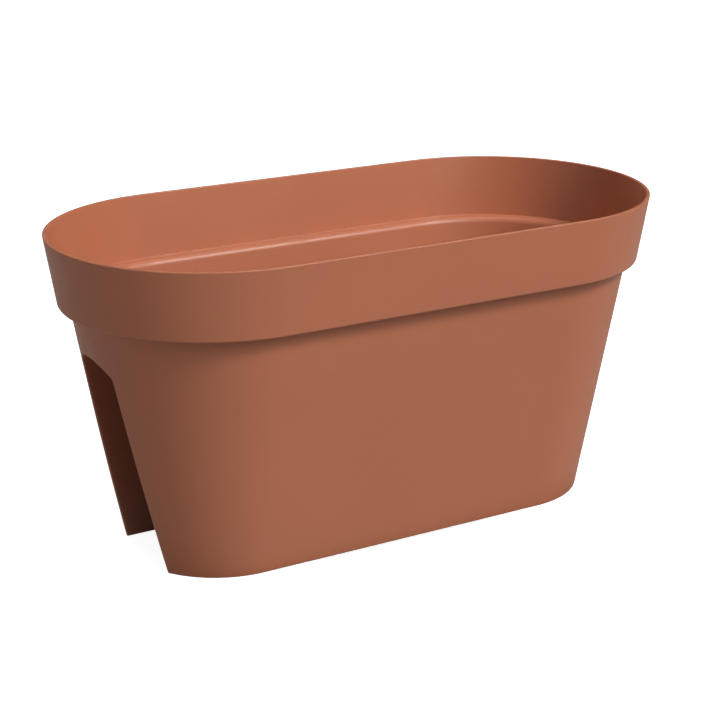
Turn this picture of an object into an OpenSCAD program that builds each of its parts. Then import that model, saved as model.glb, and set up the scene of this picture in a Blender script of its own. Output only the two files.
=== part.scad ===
// Self-watering planter that straddles a balcony railing.
//
// One tapered tub with rounded ends and a wide band below its lip. A slot along its underside
// splits the lower half into a front and a rear leg, which are the two water reservoirs.
// Each leg holds a lift-out insert: a slotted separator on feet, three wicking baskets that reach
// the water, a fill tube with a snap-in hinged lid, and a float gauge. An overflow pipe in the leg's
// floor sets the highest water level, and a rubber plug closes it from below for indoor use.
//
// Frame: +Z up, +X along the length, -Y the front. The origin is the middle of the base.

/* [Planter body] */
// Length over the lip
length = 500; // [500:5:560]
// Depth over the lip, front to back, and the diameter of the round ends
depth = 250; // [248:1:256]
// Height from the feet to the lip
height = 250; // [245:1:270]
// Wall thickness of the moulding
wall = 3; // [2.6:0.1:3.2]
// Height of the wide band below the lip
band_h = 53; // [42:1:54]
// How far the band leans in from the lip to its lower edge
band_draft = 7.8; // [6:0.1:8]
// Step from the band's lower edge in to the body
band_step = 8.8; // [8:0.1:10]
// How far the base is set in from the lip
base_inset = 50.2; // [49:0.1:51]
// Radius of the band's lower outer edge
band_round = 2; // [1:0.5:5]
// Radius of the inner edge of the ledge inside the band
ledge_round = 6; // [3:0.5:7]
// Height of the foot ring under each leg
foot_h = 5; // [5:0.5:6]

/* [Railing slot] */
// Width of the slot at the feet
slot_base_w = 75.6; // [72:0.2:78]
// Width between the slot's walls if they went on up to its crown
slot_top_w = 55.4; // [50:0.2:58]
// Height of the crown of the slot's arched ceiling
slot_h = 165.8; // [150:0.2:172]
// Radius of the arched ceiling
slot_arch_r = 46; // [42:1:60]
// Radius where the ceiling meets the slot's walls
slot_round = 4; // [2:0.5:8]

/* [Reservoir] */
// Highest water level, at the overflow pipe's mouth
water_z = 62; // [58:1:63]
// Underside of the separator plate
plate_z = 64; // [64:1:68]
// Distance between the middles of the wicking baskets
basket_pitch = 75; // [72:1:76]

/* [Fill tube and gauge] */
// Height of the fill tube's mouth
fill_z = 192; // [160:1:200]
// Inner radius of the fill tube
fill_bore_r = 12; // [10:0.5:12]
// Top of the gauge's clear dome
dome_z = 195; // [180:1:200]
// Rise of the float from empty to full
float_rise = 34; // [20:1:34]

/* [Hidden] */
$fn = 64;

SIDES = ["front", "rear"];
PLACES = ["left", "middle", "right"];
LEG_PIECES = ["separator", "fill_tube", "fill_lid", "gauge_tube", "gauge_dome", "gauge_float",
    "gauge_rod", "overflow_pipe", "overflow_seal", "overflow_plug"];

terracotta = [0.69, 0.38, 0.26];
dark_plastic = [0.16, 0.17, 0.18];
clear_plastic = [0.85, 0.9, 0.92, 0.4];
foam_white = [0.93, 0.93, 0.9];
gauge_red = [0.8, 0.1, 0.08];
black_rubber = [0.06, 0.06, 0.06];

past = 1;                         // how far a cut runs past the face it opens
half_run = (length - depth) / 2;  // half the straight stretch between the round ends

// Body profile, as radii about the line between the centres of the round ends
lip_r = depth / 2;
lip_round = 0.7;
band_z = height - band_h;
band_r = lip_r - band_draft;
body_r = band_r - band_step;
base_r = lip_r - base_inset;
base_round = 1.2;
nook_round = 1.5;                 // where the band's underside meets the body
ledge_z = band_z + wall;
ledge_nook_round = 0.5;           // where the ledge meets the band's inner wall
floor_z = foot_h + wall;          // top of each leg's floor
floor_round = 2.5;
band_lean = atan(band_draft / band_h);
rib_w = 2;
rib_z = 1;                        // underside of the ribs under the legs' floors
rib_xs = [-112, -56, 0, 56, 112];

function outer_r(z) = base_r + (body_r - base_r) * z / band_z;
function inner_r(z) = outer_r(z) - wall;
function band_outer_r(z) = band_r + (lip_r - band_r) * (z - band_z) / band_h;
function slot_half(z) = slot_base_w / 2 + (slot_top_w - slot_base_w) / 2 * z / slot_h;
function slot_face(z) = slot_half(z) + wall;
slot_lean = atan((slot_base_w - slot_top_w) / 2 / slot_h);
slot_arch_steps = 12;             // facets in each half of the ceiling

// Points on an arc of radius r about [cx, cy], from angle a to angle b
function arc(cx, cy, r, a, b, steps = 5) =
    [for (i = [0:steps]) let (t = a + (b - a) * i / steps) [cx + r * cos(t), cy + r * sin(t)]];

// Reservoir layout: places along X, and distances from the middle plane across Y
leg_y = 57;
basket_y = 60.2;
fill_x = -150;
fill_y = 57.8;
gauge_x = -119;
overflow_x = 146;
plate_t = 2.5;
plate_top = plate_z + plate_t;
plate_gap = 1;                    // clearance between the separator and the leg's walls
rim_h = 10;
rim_t = 1.8;
foot_r = 4;
foot_bore_r = 2.4;
foot_xs = [-97, -basket_pitch / 2, basket_pitch / 2, 112.5];
collar_t = 2;                     // flanges that rest on the separator
slot_w = 2.4;                     // drainage slots
slot_l = 13;
slot_pitch = 8;

basket_top_r = 15;
basket_base_r = 11.5;
basket_t = 1.8;
basket_flange_r = 18;
basket_z = floor_z + 2;
basket_gap = 0.2;
basket_slot_h = 17;

fill_t = 2;
fill_r = fill_bore_r + fill_t;
fill_foot_z = plate_z - 8;
fill_gap = 0.15;
fill_flange_r = fill_r + 2;
fill_lip_r = fill_r + 1.5;
fill_lip_h = 3;

hinge_reach = 18.5;               // from the fill tube's axis to the lid's hinge axis
hinge_z = fill_z + 1.2;
knuckle_r = 2.6;
pin_r = 1.2;                      // stub pins on the lid, snapped into the ears
pin_gap = 0.08;
knuckle_w = 9.4;
ear_w = 2.4;
ear_h = 7;
ear_gap = 0.3;
lid_t = 2.2;
lid_z = fill_z + 0.1;
lid_skirt_h = 3;
lid_skirt_t = 1.6;
lid_skirt_gap = 0.6;
lid_tab_w = 10;
lid_tab_l = 4.5;

gauge_r = 9;
gauge_bore_r = 7.4;
gauge_foot_z = floor_z + 2;
gauge_stop_t = 2;                 // inner shoulder that stops the float at empty
gauge_stop_w = 2.4;
gauge_collar_r = 11.5;
gauge_slot_w = 3;
gauge_slot_h = 32;
spigot_h = 6;
spigot_gap = 0.1;
dome_bore_r = 6.2;
dome_t = 2;
dome_round = 4;
float_r = 6.8;
float_h = 30;
float_edge = 1;
float_z = gauge_foot_z + gauge_stop_t + 0.4;
rod_r = 1.5;
rod_gap = 0.05;
pointer_r = 4.8;
pointer_h = 5;
pointer_gap = 0.5;                // left above the pointer when the float is at full
pointer_z = dome_z - dome_t - pointer_gap - float_rise - pointer_h;
gauge_split_z = pointer_z - 1.5;  // where the clear dome starts

pipe_r = 6.2;
pipe_bore_r = 4;
pipe_gap = 0.1;
pipe_taper = 0.6;
pipe_flange_r = 9;
seal_t = 2;
seal_r = 8.8;
seal_gap = 0.05;
plug_head_r = 8;
plug_head_t = 2.4;
plug_edge = 0.8;
plug_seat_gap = 0.02;
plug_stem_gap = 0.08;
plug_stem_h = 9;
plug_tip = 1.3;                   // chamfer at the stem's tip
plug_tab_t = 1.8;
plug_tab_w = 9;
plug_tab_z = 0.4;

// ---- shared shapes ----

// A profile of [radius, height] points carried round a stadium: half turns at the ends and straight
// sides between them. It is a closed solid, so the profile starts and ends on the axis.
module round_ended(profile) {
    for (s = [-1, 1])
        translate([s * half_run, 0, 0]) rotate([0, 0, -90 * s]) rotate_extrude(angle = 180) polygon(profile);
    both_sides = concat(profile, [for (i = [len(profile) - 1:-1:0]) [-profile[i][0], profile[i][1]]]);
    rotate([90, 0, 90]) linear_extrude(2 * half_run, center = true) polygon(both_sides);
}

// A flat stadium of radius r
module stadium(r) {
    for (s = [-1, 1]) translate([s * half_run, 0]) circle(r);
    square([2 * half_run, 2 * r], center = true);
}

// The railing slot's outline from below the feet to its arched crown, grown by g on every side
function slot_outline(g) =
    let (
        arch_z = slot_h - slot_arch_r,
        apart = slot_arch_r - slot_round,
        spring = slot_lean + acos((slot_half(arch_z) * cos(slot_lean) - slot_round) / apart),
        step = (90 - spring) / slot_arch_steps,
        foot = [slot_half(-2 * past) + g / cos(slot_lean), -2 * past],
        corner = arc(apart * cos(spring), arch_z + apart * sin(spring), slot_round + g, slot_lean, spring, 6),
        arch = arc(0, arch_z, slot_arch_r + g, spring + step, 90, slot_arch_steps - 1),
        half = concat([foot], corner, arch)
    )
    concat(half, [for (i = [len(half) - 2:-1:0]) [-half[i][0], half[i][1]]]);

module slot_prism(g) {
    rotate([90, 0, 90]) linear_extrude(length + 2 * past, center = true) polygon(slot_outline(g));
}

// One leg's plan at height z, set in by gap from the leg's inner walls, on the +Y side
module leg_plan(z, gap) {
    intersection() {
        stadium(inner_r(z) - gap);
        translate([-length / 2, slot_face(z) + gap]) square([length, depth]);
    }
}

// Places a leg piece that is drawn for the rear leg (+Y) in the leg named by side
module in_leg(side) {
    mirror([0, side == "front" ? 1 : 0, 0]) children();
}

// ---- the moulded body ----

function outer_profile() = concat(
    [[0, 0]],
    arc(base_r - base_round, base_round, base_round, -90, 0, 3),
    arc(body_r + nook_round, band_z - nook_round, nook_round, 180, 90, 3),
    arc(band_r - band_round, band_z + band_round, band_round, -90, -band_lean, 6),
    arc(lip_r - lip_round, height - lip_round, lip_round, 0, 90, 4),
    [[0, height]]
);

function cavity_profile() = concat(
    [[0, floor_z]],
    arc(inner_r(floor_z) - floor_round, floor_z + floor_round, floor_round, -90, 0, 3),
    arc(inner_r(ledge_z - ledge_round) + ledge_round, ledge_z - ledge_round, ledge_round, 180, 90, 6),
    arc(band_outer_r(ledge_z) - wall - ledge_nook_round, ledge_z + ledge_nook_round, ledge_nook_round,
        -90, -band_lean, 4),
    arc(lip_r - wall + lip_round, height - lip_round, lip_round, 180, 90, 4),
    [[lip_r - wall + lip_round, height + past], [0, height + past]]
);

// The hollow under both legs' floors, with cross ribs left standing
module foot_recess() {
    difference() {
        translate([0, 0, -past]) linear_extrude(foot_h + past) stadium(base_r - wall);
        slot_prism(wall);
        for (x = rib_xs) translate([x - rib_w / 2, -depth / 2, rib_z]) cube([rib_w, depth, foot_h]);
    }
}

module planter_body() {
    color(terracotta) difference() {
        round_ended(outer_profile());
        slot_prism(0);
        difference() {
            round_ended(cavity_profile());
            slot_prism(wall);
        }
        foot_recess();
        for (s = [-1, 1])
            translate([overflow_x, s * leg_y, -past]) cylinder(r = pipe_r + pipe_gap, h = floor_z + 2 * past);
    }
}

// ---- the insert in each leg ----

// Two rows of slots, left out where a tube, basket or foot takes the plate's width, or past its round end
module drain_slots() {
    clear_of = concat(
        [[fill_x, fill_flange_r + 1], [gauge_x, gauge_collar_r + 1]],
        [for (i = [-1:1]) [i * basket_pitch, basket_flange_r + 1]],
        [for (x = foot_xs) [x, foot_r]]
    );
    rows = [[50, half_run + 48], [68.5, half_run + 20]];
    for (x = [-22 * slot_pitch:slot_pitch:22 * slot_pitch], row = rows)
        if (min([for (c = clear_of) abs(x - c[0]) - c[1]]) > slot_w / 2 && abs(x) < row[1])
            translate([x - slot_w / 2, row[0] - slot_l / 2, plate_z - past])
                cube([slot_w, slot_l, plate_t + 2 * past]);
}

module separator(side) {
    color(dark_plastic) in_leg(side) difference() {
        union() {
            translate([0, 0, plate_z]) linear_extrude(plate_t) leg_plan(plate_z, plate_gap);
            translate([0, 0, plate_z]) linear_extrude(plate_t + rim_h) difference() {
                leg_plan(plate_z, plate_gap);
                leg_plan(plate_z, plate_gap + rim_t);
            }
            for (x = foot_xs) translate([x, leg_y, floor_z]) cylinder(r = foot_r, h = plate_top - floor_z);
        }
        for (x = foot_xs)
            translate([x, leg_y, floor_z - past]) cylinder(r = foot_bore_r, h = plate_z - floor_z - 3 * past);
        for (x = [-1:1])
            translate([x * basket_pitch, basket_y, plate_z - past])
                cylinder(r = basket_top_r + basket_gap, h = plate_t + 2 * past);
        translate([fill_x, fill_y, plate_z - past]) cylinder(r = fill_r + fill_gap, h = plate_t + 2 * past);
        translate([gauge_x, leg_y, plate_z - past]) cylinder(r = gauge_r + fill_gap, h = plate_t + 2 * past);
        drain_slots();
    }
}

module wick_basket(side, place) {
    top_inner_r = basket_top_r - basket_t;
    base_inner_r = basket_base_r - basket_t;
    color(dark_plastic) in_leg(side) translate([place * basket_pitch, basket_y, 0]) difference() {
        rotate_extrude() polygon([
            [0, basket_z], [basket_base_r, basket_z], [basket_top_r, plate_z], [basket_top_r, plate_top],
            [basket_flange_r, plate_top], [basket_flange_r, plate_top + collar_t],
            [top_inner_r, plate_top + collar_t], [top_inner_r, plate_z],
            [base_inner_r, basket_z + basket_t], [0, basket_z + basket_t]
        ]);
        for (a = [22.5:45:157.5], z = [basket_z + 6, basket_z + 29]) rotate([0, 0, a])
            translate([-basket_flange_r, -slot_w / 2, z]) cube([2 * basket_flange_r, slot_w, basket_slot_h]);
        for (a = [0, 90]) rotate([0, 0, a]) translate([-slot_l / 2, -slot_w / 2, basket_z - past])
            cube([slot_l, slot_w, basket_t + 2 * past]);
    }
}

// A rod along the lid's hinge axis, which is the ears' bore or the lid's stub pins. Like the tube and
// the lid, it is drawn about the fill tube's axis.
module hinge_rod(r, long) {
    translate([-hinge_reach, -long / 2, hinge_z]) rotate([-90, 0, 0]) cylinder(r = r, h = long);
}

// One of the two ears that hold the lid's stub pins
module hinge_ear() {
    translate([-hinge_reach, 0, fill_z - ear_h]) cube([hinge_reach - fill_bore_r - fill_t / 2, ear_w, ear_h]);
    translate([-hinge_reach - knuckle_r, 0, fill_z - knuckle_r])
        cube([2 * knuckle_r, ear_w, hinge_z - fill_z + knuckle_r]);
    translate([-hinge_reach, 0, hinge_z]) rotate([-90, 0, 0]) cylinder(r = knuckle_r, h = ear_w);
}

module fill_tube(side) {
    ear_y = knuckle_w / 2 + ear_gap;
    color(dark_plastic) in_leg(side) translate([fill_x, fill_y, 0]) difference() {
        union() {
            rotate_extrude() polygon([
                [fill_bore_r, fill_foot_z], [fill_r, fill_foot_z], [fill_r, plate_top],
                [fill_flange_r, plate_top], [fill_flange_r, plate_top + collar_t],
                [fill_r, plate_top + collar_t],
                [fill_r, fill_z - fill_lip_h], [fill_lip_r, fill_z - fill_lip_h], [fill_lip_r, fill_z],
                [fill_bore_r, fill_z]
            ]);
            for (y = [-ear_y - ear_w, ear_y]) translate([0, y, 0]) hinge_ear();
        }
        hinge_rod(pin_r + pin_gap, 2 * fill_r);
    }
}

module fill_lid(side) {
    skirt_r = fill_bore_r - lid_skirt_gap;
    color(terracotta) in_leg(side) translate([fill_x, fill_y, 0]) {
        difference() {
            union() {
                translate([0, 0, lid_z]) cylinder(r = fill_lip_r, h = lid_t);
                translate([0, 0, lid_z - lid_skirt_h]) cylinder(r = skirt_r, h = lid_skirt_h + lid_t / 2);
            }
            translate([0, 0, lid_z - lid_skirt_h - past])
                cylinder(r = skirt_r - lid_skirt_t, h = lid_skirt_h + past);
        }
        translate([-hinge_reach, -knuckle_w / 2, lid_z]) cube([hinge_reach - fill_bore_r, knuckle_w, lid_t]);
        translate([fill_r, -lid_tab_w / 2, lid_z]) cube([lid_tab_l + fill_lip_r - fill_r, lid_tab_w, lid_t]);
        hinge_rod(knuckle_r, knuckle_w);
        hinge_rod(pin_r, knuckle_w + 2 * (ear_w + ear_gap));
    }
}

module gauge_tube(side) {
    stop_r = gauge_bore_r - gauge_stop_w;
    stop_z = gauge_foot_z + gauge_stop_t;
    color(dark_plastic) in_leg(side) translate([gauge_x, leg_y, 0]) difference() {
        rotate_extrude() polygon([
            [stop_r, gauge_foot_z], [gauge_r, gauge_foot_z], [gauge_r, plate_top],
            [gauge_collar_r, plate_top], [gauge_collar_r, plate_top + collar_t],
            [gauge_r, plate_top + collar_t], [gauge_r, gauge_split_z], [gauge_bore_r, gauge_split_z],
            [gauge_bore_r, stop_z], [stop_r, stop_z]
        ]);
        for (a = [0, 90]) rotate([0, 0, a]) translate([-gauge_r - past, -gauge_slot_w / 2, stop_z + 3])
            cube([2 * (gauge_r + past), gauge_slot_w, gauge_slot_h]);
    }
}

module gauge_dome(side) {
    spigot_r = gauge_bore_r - spigot_gap;
    color(clear_plastic) in_leg(side) translate([gauge_x, leg_y, 0]) rotate_extrude() polygon(concat(
        [[dome_bore_r, gauge_split_z - spigot_h], [spigot_r, gauge_split_z - spigot_h],
            [spigot_r, gauge_split_z], [gauge_r, gauge_split_z]],
        arc(gauge_r - dome_round, dome_z - dome_round, dome_round, 0, 90),
        [[0, dome_z], [0, dome_z - dome_t]],
        arc(dome_bore_r - dome_t, dome_z - 2 * dome_t, dome_t, 90, 0)
    ));
}

module gauge_float(side) {
    color(foam_white) in_leg(side) translate([gauge_x, leg_y, float_z]) rotate_extrude() polygon([
        [rod_r + rod_gap, 0], [float_r - float_edge, 0], [float_r, float_edge],
        [float_r, float_h - float_edge], [float_r - float_edge, float_h], [rod_r + rod_gap, float_h]
    ]);
}

// The rod stands in the float under a small shoulder, and its head is the pointer seen in the dome
module gauge_rod(side) {
    shoulder_r = 2 * rod_r;
    shoulder_z = float_z + float_h + rod_gap;
    color(gauge_red) in_leg(side) translate([gauge_x, leg_y, 0]) rotate_extrude() polygon([
        [0, float_z + 4], [rod_r, float_z + 4], [rod_r, shoulder_z], [shoulder_r, shoulder_z],
        [shoulder_r, shoulder_z + 2], [rod_r, shoulder_z + 2 + rod_r], [rod_r, pointer_z - 2],
        [pointer_r, pointer_z], [pointer_r, pointer_z + pointer_h - 1.5],
        [pointer_r - 1.5, pointer_z + pointer_h], [0, pointer_z + pointer_h]
    ]);
}

// ---- the overflow in each leg's floor ----

module overflow_pipe(side) {
    flange_z = floor_z + seal_t;
    color(dark_plastic) in_leg(side) translate([overflow_x, leg_y, 0]) rotate_extrude() polygon([
        [pipe_bore_r, foot_h], [pipe_r, foot_h], [pipe_r, flange_z], [pipe_flange_r, flange_z],
        [pipe_flange_r, flange_z + collar_t], [pipe_r, flange_z + collar_t], [pipe_r - pipe_taper, water_z],
        [pipe_bore_r, water_z]
    ]);
}

module overflow_seal(side) {
    color(black_rubber) in_leg(side) translate([overflow_x, leg_y, floor_z]) difference() {
        cylinder(r = seal_r, h = seal_t);
        translate([0, 0, -past]) cylinder(r = pipe_r + seal_gap, h = seal_t + 2 * past);
    }
}

module overflow_plug(side) {
    head_z = foot_h - plug_head_t;
    seat_z = foot_h - plug_seat_gap;
    stem_r = pipe_bore_r - plug_stem_gap;
    color(black_rubber) in_leg(side) translate([overflow_x, leg_y, 0]) {
        rotate_extrude() polygon([
            [0, head_z], [plug_head_r - plug_edge, head_z], [plug_head_r, head_z + plug_edge],
            [plug_head_r, seat_z], [stem_r, seat_z], [stem_r, foot_h + plug_stem_h - plug_tip],
            [stem_r - plug_tip, foot_h + plug_stem_h], [0, foot_h + plug_stem_h]
        ]);
        translate([-plug_tab_w / 2, -plug_tab_t / 2, plug_tab_z]) cube([plug_tab_w, plug_tab_t, head_z]);
    }
}

planter_body();
for (side = SIDES) {
    separator(side);
    fill_tube(side);
    fill_lid(side);
    gauge_tube(side);
    gauge_dome(side);
    gauge_float(side);
    gauge_rod(side);
    overflow_pipe(side);
    overflow_seal(side);
    overflow_plug(side);
    for (i = [0:2])
        wick_basket(side, i - 1);
}
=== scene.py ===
"""Looks for a self-watering railing planter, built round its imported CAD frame.

The planter's moulded body is rebuilt here as one clean quad mesh with real edge radii, to the same
sizes as the CAD body that it stands for. Every other piece is its CAD node with a moulded-plastic,
foam or rubber finish. Lengths are millimetres in the body's sections, where MM turns them into
Blender's metres, and metres in the stage's.
"""

import math

import bmesh
import bpy
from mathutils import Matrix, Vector


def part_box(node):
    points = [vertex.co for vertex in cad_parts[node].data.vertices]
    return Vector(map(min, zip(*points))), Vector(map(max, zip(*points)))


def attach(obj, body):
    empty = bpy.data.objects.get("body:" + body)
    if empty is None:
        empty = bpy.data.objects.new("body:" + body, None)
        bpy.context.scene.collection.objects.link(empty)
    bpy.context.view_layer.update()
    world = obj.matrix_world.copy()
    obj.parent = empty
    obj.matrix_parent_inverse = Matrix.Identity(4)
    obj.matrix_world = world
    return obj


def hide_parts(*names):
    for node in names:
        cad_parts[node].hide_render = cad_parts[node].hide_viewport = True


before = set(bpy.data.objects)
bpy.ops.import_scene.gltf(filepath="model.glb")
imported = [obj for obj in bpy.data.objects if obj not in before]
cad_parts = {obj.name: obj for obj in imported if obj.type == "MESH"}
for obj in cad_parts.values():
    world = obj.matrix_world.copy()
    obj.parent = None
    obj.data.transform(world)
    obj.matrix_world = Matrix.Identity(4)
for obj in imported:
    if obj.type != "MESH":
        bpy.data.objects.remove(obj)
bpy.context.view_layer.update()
scene = bpy.context.scene

MM = 0.001
SIDES = ("front", "rear")
PLACES = ("left", "middle", "right")

# ---- the moulded body's sizes, in millimetres ----

body_low, body_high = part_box("planter_body")
LENGTH, DEPTH, HEIGHT = ((b - a) / MM for a, b in zip(body_low, body_high))
HALF_RUN = (LENGTH - DEPTH) / 2
LIP_R = DEPTH / 2
WALL = 3.0
LIP_ROUND = 0.7
BAND_Z = HEIGHT - 53.0
BAND_R = LIP_R - 7.8
BAND_LEAN = math.degrees(math.atan2(LIP_R - BAND_R, HEIGHT - BAND_Z))
BAND_ROUND = 2.0
NOOK_ROUND = 1.5
BODY_R = BAND_R - 8.8
BASE_R = LIP_R - 50.2
WALL_SLOPE = (BODY_R - BASE_R) / BAND_Z
LEDGE_Z = BAND_Z + WALL
LEDGE_ROUND = 6.0
LEDGE_NOOK_ROUND = 0.5
FOOT_H = 5.0
FLOOR_Z = FOOT_H + WALL
RIB_XS = (-112, -56, 0, 56, 112)
RIB_HALF = 1.0
RIB_OFF_GROUND = 1.0
OVERFLOW_HOLE_R = 6.3     # a hair wider than the overflow pipes
PAST = 1.0                # how far cutters reach past the faces that they open
JOIN_Z = 190.0            # the round ends' slotted walls stop here, and plain rings go on

SLOT_H = 165.8            # crown of the slot's arched ceiling
ARCH_R = 46.0
ARCH_Z = SLOT_H - ARCH_R
SLOT_ROUND = 4.0          # where the ceiling meets the slot's walls
SLOT_BASE_HALF = 37.8
SLOT_TOP_HALF = 27.7      # the walls' distance from the middle if they went up to the crown
SLOT_SLOPE = (SLOT_TOP_HALF - SLOT_BASE_HALF) / SLOT_H
SLOT_LEAN = math.atan(-SLOT_SLOPE)

# Radii of the moulding's small edges, and how finely the mesh follows each stretch
EDGE_ROUND = 1.4          # where the slot meets the outside
SEAM_ROUND = 1.6          # where the hump meets the inner wall
FOOT_ROUND = 0.8          # round the underside of each leg
FLOOR_ROUND = 1.4         # round the floor inside each leg
WALL_ROWS = 24
CORNER_STEPS = 6
ARCH_STEPS = 14
FLANK_STEPS = 30
TOP_ROWS = 6
SIDE_STEPS = 30
SLOT_STEPS = 40
ROUND_STEPS = 4


def outer_r(z):
    return BASE_R + WALL_SLOPE * z


def inner_r(z):
    return outer_r(z) - WALL


def band_inner_r(z):
    return BAND_R + (LIP_R - BAND_R) * (z - BAND_Z) / (HEIGHT - BAND_Z) - WALL


def lerp(a, b, t):
    return a + (b - a) * t


def steps(a, b, n):
    """n + 1 even values from a to b."""
    return [lerp(a, b, i / n) for i in range(n + 1)]


def arc(cx, cz, r, start, end, n):
    """Points on a circle about (cx, cz), with the angles in degrees."""
    turns = [math.radians(a) for a in steps(start, end, n)]
    return [(cx + r * math.cos(a), cz + r * math.sin(a)) for a in turns]


# ---- mesh tools ----


class Skin:
    """Grids of points, in millimetres, that share their borders' vertices and become one mesh."""

    def __init__(self):
        self.bm = bmesh.new()
        self.found = {}

    def vert(self, p):
        key = tuple(round(c, 3) for c in p)
        if key not in self.found:
            self.found[key] = self.bm.verts.new([c * MM for c in p])
        return self.found[key]

    def grid(self, rows):
        for lower, upper in zip(rows, rows[1:]):
            for quad in zip(lower, lower[1:], upper[1:], upper):
                corners = list(dict.fromkeys(self.vert(p) for p in quad))
                if len(corners) > 2:
                    self.bm.faces.new(corners)

    def open_loops(self):
        """The closed runs of vertices round the skin's holes."""
        links = {}
        for e in self.bm.edges:
            if e.is_boundary:
                for v, w in (e.verts, reversed(e.verts)):
                    links.setdefault(v, []).append(w)
        loops = []
        while links:
            loop = [next(iter(links))]
            while True:
                onward = [v for v in links.pop(loop[-1]) if v in links]
                if not onward:
                    break
                loop.append(onward[0])
            loops.append(loop)
        return loops

    def close_down(self, loop, rounding):
        """Rounds a level loop down and inward by rounding, and closes it with one flat face."""
        pts = [Vector((v.co.x, v.co.y)) / MM for v in loop]
        z = loop[0].co.z / MM
        n = len(pts)
        turn = math.copysign(1, sum(pts[i - 1].cross(pts[i]) for i in range(n)))
        inward = []
        for i in range(n):
            before, after = (pts[i] - pts[i - 1]).normalized(), (pts[(i + 1) % n] - pts[i]).normalized()
            side = (before + after).normalized()
            stretch = max(0.5, side.dot(after))
            inward.append(Vector((-side.y, side.x)) * turn / stretch)
        ring = loop
        for a in steps(0, 90, ROUND_STEPS)[1:]:
            a = math.radians(a)
            at = [p + m * rounding * (1 - math.cos(a)) for p, m in zip(pts, inward)]
            lower = [self.bm.verts.new((p.x * MM, p.y * MM, (z - rounding * math.sin(a)) * MM)) for p in at]
            for i in range(n):
                self.bm.faces.new((ring[i - 1], ring[i], lower[i], lower[i - 1]))
            ring = lower
        self.bm.faces.new(ring)

    def finish(self, name):
        bmesh.ops.remove_doubles(self.bm, verts=self.bm.verts, dist=0.002 * MM)
        return mesh_object(self.bm, name)


def mesh_object(bm, name):
    bmesh.ops.recalc_face_normals(bm, faces=bm.faces)
    mesh = bpy.data.meshes.new(name)
    bm.to_mesh(mesh)
    bm.free()
    obj = bpy.data.objects.new(name, mesh)
    scene.collection.objects.link(obj)
    return obj


def prism(outline, z0, z1):
    """A closed upright prism on an outline of (x, y) points, in millimetres, as a bmesh."""
    bm = bmesh.new()
    foot, top = ([bm.verts.new((x * MM, y * MM, z * MM)) for x, y in outline] for z in (z0, z1))
    bm.faces.new(foot)
    bm.faces.new(top)
    for i in range(len(outline)):
        bm.faces.new((foot[i - 1], foot[i], top[i], top[i - 1]))
    return bm


def cut(obj, cutters):
    """Takes the cutters' solids away from obj."""
    for bm in cutters:
        cutter = mesh_object(bm, "cutter")
        step = obj.modifiers.new("cut", "BOOLEAN")
        step.operation = "DIFFERENCE"
        step.solver = "EXACT"
        step.object = cutter
        with bpy.context.temp_override(object=obj, active_object=obj):
            bpy.ops.object.modifier_apply(modifier=step.name)
        bpy.data.objects.remove(cutter)


# ---- the moulded body ----


def slot_half(z):
    return SLOT_BASE_HALF + SLOT_SLOPE * z


def half_outline(grow, low_z):
    """The slot's outline on the +Y side, from low_z to the crown of its arched ceiling, grown by grow.

    Each point is (y, z, way), and way is the direction away from the slot: 0 sideways, 90 up."""
    lean = math.cos(SLOT_LEAN)
    apart = ARCH_R - SLOT_ROUND
    spring = SLOT_LEAN + math.acos((slot_half(ARCH_Z) * lean - SLOT_ROUND) / apart)
    cy, cz = apart * math.cos(spring), ARCH_Z + apart * math.sin(spring)
    r = SLOT_ROUND + grow
    wall = [(slot_half(z) + grow / lean, z, 0) for z in steps(low_z, cz + r * math.sin(SLOT_LEAN), WALL_ROWS)]
    spring = math.degrees(spring)
    corner = arc(cy, cz, r, math.degrees(SLOT_LEAN), spring, CORNER_STEPS)
    arch = arc(0, ARCH_Z, ARCH_R + grow, spring, 90, ARCH_STEPS)
    turns = steps(0, spring, CORNER_STEPS) + steps(spring, 90, ARCH_STEPS)[1:]
    return wall + [(y, z, way) for (y, z), way in zip(corner + arch[1:], turns)][1:]


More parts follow.
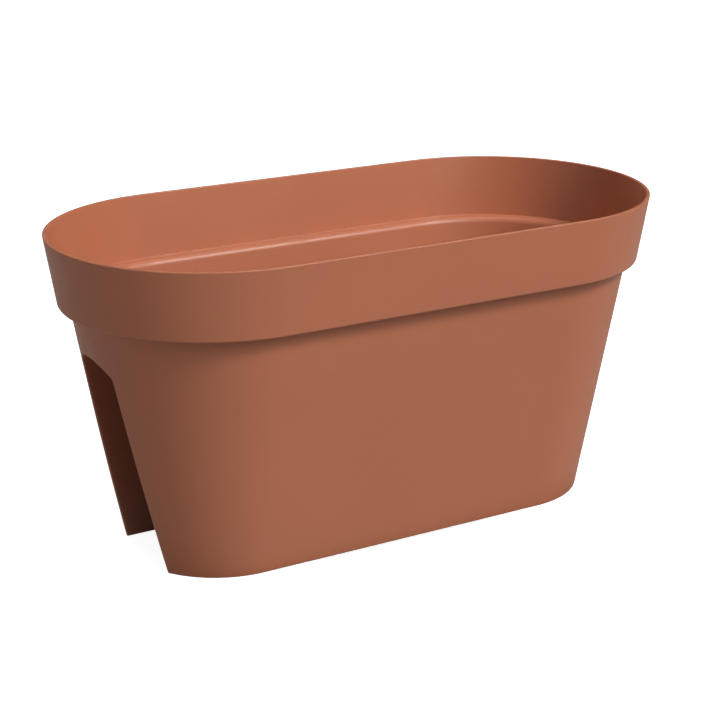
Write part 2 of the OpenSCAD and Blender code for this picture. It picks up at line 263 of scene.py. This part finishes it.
class EndWall:
    """A round end's wall with the slot cut in it, and the rounded edge between them, drawn for the +X end."""

    def __init__(self, radius_at, grow, low_z, rounding):
        self.radius_at = radius_at
        half = half_outline(grow, low_z)
        rear = [self.edge(y, z, way, rounding) for y, z, way in half]
        self.edges = mirrored(rear) + rear[-2::-1]   # rounded edge strips, from foot to foot over the slot
        self.spring = WALL_ROWS + CORNER_STEPS       # the outline's point where the arch springs
        self.bends = [self.on_wall(strip[0]) for strip in self.edges]

    def edge(self, y, z, way, rounding):
        """The rounded edge at one point of the outline: from the wall's surface to the slot's."""
        r = self.radius_at(z)
        x = math.sqrt(r * r - y * y)
        sharp = Vector((HALF_RUN + x, y, z))
        dy, dz = math.cos(math.radians(way)), math.sin(math.radians(way))
        away = Vector(((r * WALL_SLOPE * dz - y * dy) / x, dy, dz)).normalized()
        inward = Vector((-1, 0, 0))
        half_angle = away.angle(inward) / 2
        reach = rounding / math.tan(half_angle)
        start, end, weight = sharp + away * reach, sharp + inward * reach, math.sin(half_angle)
        bend, height = self.on_wall(start)
        points = [self.wall_point(bend, height)]
        for t in steps(0, 1, ROUND_STEPS)[1:]:
            a, b, c = (1 - t) ** 2, 2 * t * (1 - t) * weight, t * t
            points.append((start * a + sharp * b + end * c) / (a + b + c))
        return [tuple(p) for p in points]

    def on_wall(self, p):
        """(angle round the end, height) of a point on the wall."""
        return math.atan2(p[1], p[0] - HALF_RUN), p[2]

    def wall_point(self, bend, z):
        r = self.radius_at(z)
        return (HALF_RUN + r * math.cos(bend), r * math.sin(bend), z)

    def flank(self):
        """Rows of (angle, height) from the front seam to the slot's edge, up to the arch's spring."""
        return [
            [(lerp(-math.pi / 2, bend, t), z) for t in steps(0, 1, FLANK_STEPS)]
            for bend, z in self.bends[: self.spring + 1]
        ]

    def crown(self):
        """Rows of (angle, height) over the slot, from seam to seam, up to JOIN_Z."""
        left = self.flank()[-1]
        right = [(-bend, z) for bend, z in reversed(left)]
        foot = left + self.bends[self.spring + 1 : -self.spring - 1] + right
        return [[(bend, lerp(z, JOIN_Z, t)) for bend, z in foot] for t in steps(0, 1, TOP_ROWS)]

    def bends_round(self):
        """The angles at which the rings above take over."""
        return [bend for bend, z in self.crown()[-1]]

    def heights(self):
        """The heights of the rows where this wall meets the straight sides."""
        return [row[0][1] for row in self.flank()] + [row[0][1] for row in self.crown()[1:]]

    def add_to(self, skin):
        flank = [[self.wall_point(*p) for p in row] for row in self.flank()]
        crown = [[self.wall_point(*p) for p in row] for row in self.crown()]
        for flip in (1, -1):
            for rows in (flank, mirrored(flank), crown, self.edges):
                skin.grid([[(x * flip, y * flip, z) for x, y, z in row] for row in rows])
        near = [Vector(strip[-1]) for strip in self.edges]
        far = [Vector((-p.x, p.y, p.z)) for p in near]
        skin.grid([[tuple(a.lerp(b, t)) for a, b in zip(near, far)] for t in steps(0, 1, SLOT_STEPS)])
        for side in (1, -1):
            skin.grid([
                [(x, side * self.radius_at(z), z) for x in steps(HALF_RUN, -HALF_RUN, SIDE_STEPS)]
                for z in self.heights()
            ])


def mirrored(rows):
    return [[(x, -y, z) for x, y, z in row] for row in rows]


def ring(r, z, bends):
    """A closed run of points round the planter's plan, for the angles that its round ends are divided at."""
    end = [(HALF_RUN + r * math.cos(b), r * math.sin(b), z) for b in bends]
    side = [(x, r, z) for x in steps(HALF_RUN, -HALF_RUN, SIDE_STEPS)]
    half = end + side[1:-1]
    loop = half + [(-x, -y, z) for x, y, z in half]
    return loop + loop[:1]


def rim_profile():
    """(radius, height) from the outer wall over the band, lip and ledge to the inner wall."""
    nook = (outer_r(BAND_Z - NOOK_ROUND) + NOOK_ROUND, BAND_Z - NOOK_ROUND)
    ledge_nook = (band_inner_r(LEDGE_Z + LEDGE_NOOK_ROUND) - LEDGE_NOOK_ROUND, LEDGE_Z + LEDGE_NOOK_ROUND)
    ledge_edge = (inner_r(LEDGE_Z - LEDGE_ROUND) + LEDGE_ROUND, LEDGE_Z - LEDGE_ROUND)
    outer = arc(*nook, NOOK_ROUND, 180, 90, 4)
    outer += arc(BAND_R - BAND_ROUND, BAND_Z + BAND_ROUND, BAND_ROUND, -90, -BAND_LEAN, 8)
    lip = arc(LIP_R - LIP_ROUND, HEIGHT - LIP_ROUND, LIP_ROUND, -BAND_LEAN, 90, 5)
    lip += arc(LIP_R - WALL + LIP_ROUND, HEIGHT - LIP_ROUND, LIP_ROUND, 90, 180 - BAND_LEAN, 5)
    inner = arc(*ledge_nook, LEDGE_NOOK_ROUND, -BAND_LEAN, -90, 5)
    inner += arc(*ledge_edge, LEDGE_ROUND, 90, 180, 8)
    band_out = between(outer[-1], lip[0], 4)
    band_in = between(lip[-1], inner[0], 4)
    foot, end = (outer_r(JOIN_Z), JOIN_Z), (inner_r(JOIN_Z), JOIN_Z)
    return [foot, *outer, *band_out, *lip, *band_in, *inner, end]


def between(a, b, n):
    """The points that divide a straight stretch into n, without its ends."""
    return [(lerp(a[0], b[0], i / n), lerp(a[1], b[1], i / n)) for i in range(1, n)]


def leg_cells():
    """Cutters for the hollows under the legs' floors: one shallow for each leg, deep between ribs."""
    r = BASE_R - WALL
    slot_face = SLOT_BASE_HALF + WALL
    corner = math.degrees(math.asin(slot_face / r))
    bow = [(HALF_RUN + x, y) for x, y in arc(0, 0, r, corner, 90, 24)]
    shallow = bow + [(-x, y) for x, y in reversed(bow)]
    last_rib = RIB_XS[-1] + RIB_HALF
    ends = [(last_rib, slot_face), *bow, (last_rib, r)]
    cells = [ends, [(-x, y) for x, y in ends]]
    for rib, next_rib in zip(RIB_XS, RIB_XS[1:]):
        a, b = rib + RIB_HALF, next_rib - RIB_HALF
        cells.append([(a, slot_face), (b, slot_face), (b, r), (a, r)])
    for side in (1, -1):
        yield prism([(x, side * y) for x, y in shallow], -PAST, RIB_OFF_GROUND)
        for cell in cells:
            yield prism([(x, side * y) for x, y in cell], -PAST, FOOT_H)


def overflow_holes():
    """Cutters for the holes that the overflow pipes stand in."""
    for side in SIDES:
        low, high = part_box(f"{side}_overflow_pipe")
        x, y = (low.x + high.x) / 2 / MM, (low.y + high.y) / 2 / MM
        yield prism(arc(x, y, OVERFLOW_HOLE_R, 0, 360, 48)[:-1], -PAST, FLOOR_Z + PAST)


def planter_shell():
    outside = EndWall(outer_r, 0, FOOT_ROUND, EDGE_ROUND)
    inside = EndWall(inner_r, WALL, FLOOR_Z + FLOOR_ROUND, SEAM_ROUND)
    skin = Skin()
    outside.add_to(skin)
    inside.add_to(skin)
    profile = rim_profile()
    rings = []
    for i, (r, z) in enumerate(profile):
        t = i / (len(profile) - 1)
        bends = [lerp(a, b, t) for a, b in zip(outside.bends_round(), inside.bends_round())]
        rings.append(ring(r, z, bends))
    skin.grid(rings)
    for loop in skin.open_loops():
        skin.close_down(loop, FOOT_ROUND if loop[0].co.z < FOOT_H * MM else FLOOR_ROUND)
    shell = skin.finish("planter_shell")
    cut(shell, [*leg_cells(), *overflow_holes()])
    return shell


def smooth(obj, angle=35):
    """Smooth shading that keeps flat faces flat and leaves edges sharper than angle crisp."""
    obj.data.shade_smooth()
    obj.data.set_sharp_from_angle(angle=math.radians(angle))
    weigh = obj.modifiers.new("weighted_normals", "WEIGHTED_NORMAL")
    weigh.keep_sharp = True


# ---- materials ----


def new_material(name):
    mat = bpy.data.materials.new(name)
    mat.use_nodes = True
    nodes, links = mat.node_tree.nodes, mat.node_tree.links
    return mat, nodes, links, nodes["Principled BSDF"]


def noise(nodes, links, coords, scale, detail=3.0, roughness=0.5):
    n = nodes.new("ShaderNodeTexNoise")
    n.inputs["Scale"].default_value = scale
    n.inputs["Detail"].default_value = detail
    n.inputs["Roughness"].default_value = roughness
    links.new(coords, n.inputs["Vector"])
    return n.outputs["Fac"]


def remap(nodes, links, value, low, high, start=0.3, stop=0.7):
    """value from start..stop to low..high."""
    n = nodes.new("ShaderNodeMapRange")
    for key, v in (("From Min", start), ("From Max", stop), ("To Min", low), ("To Max", high)):
        n.inputs[key].default_value = v
    links.new(value, n.inputs["Value"])
    return n.outputs["Result"]


def moulded(name, colour, roughness, grain=0.5, vary=0.05, specular=0.5):
    """Moulded plastic: faint clouding of the colour, uneven gloss and a fine spark-eroded grain."""
    mat, nodes, links, shader = new_material(name)
    coords = nodes.new("ShaderNodeTexCoord").outputs["Object"]
    cloud = noise(nodes, links, coords, scale=9.0, detail=4.0)
    speck = noise(nodes, links, coords, scale=420.0, detail=2.0)
    both = nodes.new("ShaderNodeMath")
    both.operation = "MULTIPLY_ADD"
    links.new(speck, both.inputs[0])
    both.inputs[1].default_value = 0.35
    links.new(cloud, both.inputs[2])
    ramp = nodes.new("ShaderNodeValToRGB")
    ramp.color_ramp.elements[0].position = 0.45
    ramp.color_ramp.elements[1].position = 0.90
    for element, share in zip(ramp.color_ramp.elements, (1 - vary, 1 + vary)):
        element.color = (*[min(1.0, c * share) for c in colour], 1.0)
    links.new(both.outputs[0], ramp.inputs["Fac"])
    links.new(ramp.outputs["Color"], shader.inputs["Base Color"])
    patch = noise(nodes, links, coords, scale=26.0, detail=5.0, roughness=0.6)
    links.new(remap(nodes, links, patch, roughness - 0.05, roughness + 0.06), shader.inputs["Roughness"])
    fine = noise(nodes, links, coords, scale=1500.0, detail=2.0, roughness=0.6)
    bump = nodes.new("ShaderNodeBump")
    bump.inputs["Strength"].default_value = grain
    bump.inputs["Distance"].default_value = 0.00004
    links.new(fine, bump.inputs["Height"])
    links.new(bump.outputs["Normal"], shader.inputs["Normal"])
    shader.inputs["Specular IOR Level"].default_value = specular
    return mat


TERRACOTTA = (0.49, 0.166, 0.084)
INSERT_GREY = (0.035, 0.037, 0.040)

terracotta = moulded("terracotta_plastic", TERRACOTTA, 0.41, grain=0.5, vary=0.03, specular=0.45)
insert_plastic = moulded("insert_plastic", INSERT_GREY, 0.42, grain=0.6, vary=0.12)
foam = moulded("float_foam", (0.80, 0.79, 0.74), 0.85, grain=1.0, vary=0.05, specular=0.2)
red_plastic = moulded("pointer_plastic", (0.55, 0.02, 0.012), 0.25, grain=0.1, vary=0.06)
rubber = moulded("black_rubber", (0.018, 0.018, 0.018), 0.7, grain=0.9, vary=0.2, specular=0.3)


def clear_plastic(name):
    mat, nodes, links, shader = new_material(name)
    shader.inputs["Base Color"].default_value = (0.93, 0.97, 0.98, 1)
    shader.inputs["Transmission Weight"].default_value = 1.0
    shader.inputs["IOR"].default_value = 1.49
    coords = nodes.new("ShaderNodeTexCoord").outputs["Object"]
    haze = noise(nodes, links, coords, scale=160.0, detail=4.0, roughness=0.6)
    links.new(remap(nodes, links, haze, 0.03, 0.10), shader.inputs["Roughness"])
    return mat


dome_plastic = clear_plastic("clear_plastic")

FINISH = {
    "separator": insert_plastic,
    "fill_tube": insert_plastic,
    "fill_lid": terracotta,
    "gauge_tube": insert_plastic,
    "gauge_dome": dome_plastic,
    "gauge_float": foam,
    "gauge_rod": red_plastic,
    "overflow_pipe": insert_plastic,
    "overflow_seal": rubber,
    "overflow_plug": rubber,
}


def paint(obj, material):
    obj.data.materials.clear()
    obj.data.materials.append(material)


# ---- pieces ----

shell = planter_shell()
smooth(shell)
paint(shell, terracotta)
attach(shell, "planter")
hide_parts("planter_body")

for side in SIDES:
    for piece, material in FINISH.items():
        paint(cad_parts[f"{side}_{piece}"], material)
    for place in PLACES:
        paint(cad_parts[f"{side}_wick_basket_{place}"], insert_plastic)

# ---- stage, light and camera, in metres ----

AIM = (0, 0, 0.125)          # the planter's middle
LIGHTS_AWAY = 6.0
SHEET_HALF = 30.0
BACKDROP_R = 28.0
BACKDROP_FOOT, BACKDROP_TOP = -5.0, 25.0
SLOT_PAINTED_SHADOW_Y = (0.07, 0.09)   # across the slot, the floor's painted shadow ends here, under the legs' outsides
SLOT_PAINTED_SHADOW_FADE = 0.09        # along the slot, the floor's painted shadow lifts over this length


def look_at(obj, target):
    obj.rotation_mode = "QUATERNION"
    obj.rotation_quaternion = (Vector(target) - obj.location).to_track_quat("-Z", "Y")


def around(azimuth, elevation, distance, centre):
    """A point at that distance from centre. Azimuth 0 is in front, on -Y, and 90 to the right, on +X."""
    a, e = math.radians(azimuth), math.radians(elevation)
    way = Vector((math.sin(a) * math.cos(e), -math.cos(a) * math.cos(e), math.sin(e)))
    return Vector(centre) + way * distance


def softbox(name, azimuth, elevation, size, power, distance=LIGHTS_AWAY):
    data = bpy.data.lights.new(name, "AREA")
    data.shape = "RECTANGLE"
    data.size, data.size_y = size
    data.energy = power
    light = bpy.data.objects.new(name, data)
    scene.collection.objects.link(light)
    light.location = around(azimuth, elevation, distance, AIM)
    look_at(light, AIM)
    return light


softbox("broad_key", 20, 40, (3.5, 3.5), 187)
softbox("key", 30, 45, (1.25, 1.25), 176)
softbox("top", 0, 88, (3.5, 3.5), 68)
softbox("front_fill", 0, 8, (2.0, 2.0), 30)
softbox("left_fill", -100, 20, (3.5, 2.0), 34)
left_low = softbox("left_low", -95, -6, (0.5, 0.1), 0.26, distance=0.8)
left_low.visible_glossy = False
left_low.visible_camera = False
softbox("back_light", 180, 60, (2.0, 2.0), 20)
softbox("low_back", 172, 14, (2.0, 1.5), 5)
rear_fill = softbox("rear_fill", 180, 10, (3.5, 1.5), 60)
rear_fill.visible_glossy = False

camera = bpy.data.objects.new("camera", bpy.data.cameras.new("camera"))
scene.collection.objects.link(camera)
camera.location = around(-30.21, 18.62, 1.4021, AIM)
look_at(camera, AIM)
camera.data.lens = 88.15
camera.data.sensor_width = 36
camera.data.shift_x = 0.0008
scene.camera = camera


def pale(name, shade, glow):
    """Matt grey, lit from within by glow."""
    mat, nodes, links, shader = new_material(name)
    shader.inputs["Base Color"].default_value = (shade, shade, shade, 1)
    shader.inputs["Roughness"].default_value = 0.9
    shader.inputs["Emission Color"].default_value = (1, 1, 1, 1)
    shader.inputs["Emission Strength"].default_value = glow
    return mat, nodes, links, shader


def beyond(nodes, links, along, start, stop):
    """0 where the distance along an axis is under start, rising softly to 1 at stop."""
    away = nodes.new("ShaderNodeMath")
    away.operation = "ABSOLUTE"
    links.new(along, away.inputs[0])
    rise = nodes.new("ShaderNodeMapRange")
    rise.interpolation_type = "SMOOTHSTEP"
    rise.inputs["From Min"].default_value = start
    rise.inputs["From Max"].default_value = stop
    links.new(away.outputs[0], rise.inputs["Value"])
    return rise.outputs["Result"]


def ground_with_painted_slot_shadow(name, shade, glow, deep, painted_shadow_x):
    """Pale, with a shadow painted into its glow: in the slot between the legs, as far out along the slot as
    the reach it is given, the glow falls to deep.
    """
    mat, nodes, links, shader = pale(name, shade, glow)
    axes = nodes.new("ShaderNodeSeparateXYZ")
    links.new(nodes.new("ShaderNodeTexCoord").outputs["Object"], axes.inputs[0])
    along = beyond(nodes, links, axes.outputs["X"], painted_shadow_x, painted_shadow_x + SLOT_PAINTED_SHADOW_FADE)
    across = beyond(nodes, links, axes.outputs["Y"], *SLOT_PAINTED_SHADOW_Y)
    outside = nodes.new("ShaderNodeMath")
    outside.operation = "MAXIMUM"
    links.new(along, outside.inputs[0])
    links.new(across, outside.inputs[1])
    strength = nodes.new("ShaderNodeMath")
    strength.operation = "MULTIPLY_ADD"
    links.new(outside.outputs[0], strength.inputs[0])
    strength.inputs[1].default_value = glow - deep
    strength.inputs[2].default_value = deep
    links.new(strength.outputs[0], shader.inputs["Emission Strength"])
    return mat


def show_only_to(obj, rays):
    """A stage piece that only one kind of ray sees: the camera's, diffuse or glossy ones."""
    obj.visible_camera = rays == "camera"
    obj.visible_diffuse = rays == "diffuse"
    obj.visible_glossy = rays == "glossy"
    obj.visible_shadow = False


def level_sheet(name, shade, glow, deep, painted_shadow_x, seen_by):
    """A wide glowing sheet on the ground, with a shadow painted into its glow in the slot between the legs.
    """
    bm = bmesh.new()
    corners = ((-1, -1), (1, -1), (1, 1), (-1, 1))
    bm.faces.new([bm.verts.new((x * SHEET_HALF, y * SHEET_HALF, 0)) for x, y in corners])
    sheet = mesh_object(bm, name)
    paint(sheet, ground_with_painted_slot_shadow(name, shade, glow, deep, painted_shadow_x))
    show_only_to(sheet, seen_by)


# Each sheet has a painted shadow in the slot between the legs: the camera's floor, the bounce sheet that
# lights the planter from below, and the sheet seen in its reflections.
level_sheet("floor", 0.8, 0.9, 0.5, 0.04, "camera")
level_sheet("floor_bounce", 0.0, 0.19, 0.0, 0.16, "diffuse")
level_sheet("floor_sheen", 0.0, 0.34, 0.0, 0.12, "glossy")

round_wall = arc(0, 0, BACKDROP_R / MM, 0, 360, 48)[:-1]
backdrop = mesh_object(prism(round_wall, BACKDROP_FOOT / MM, BACKDROP_TOP / MM), "backdrop")
paint(backdrop, pale("backdrop", 0.8, 0.9)[0])
show_only_to(backdrop, "camera")

world = bpy.data.worlds.new("studio")
scene.world = world
world.use_nodes = True
world.node_tree.nodes["Background"].inputs["Color"].default_value = (1, 1, 1, 1)
world.node_tree.nodes["Background"].inputs["Strength"].default_value = 0.03

scene.view_settings.view_transform = "Standard"
scene.view_settings.look = "None"
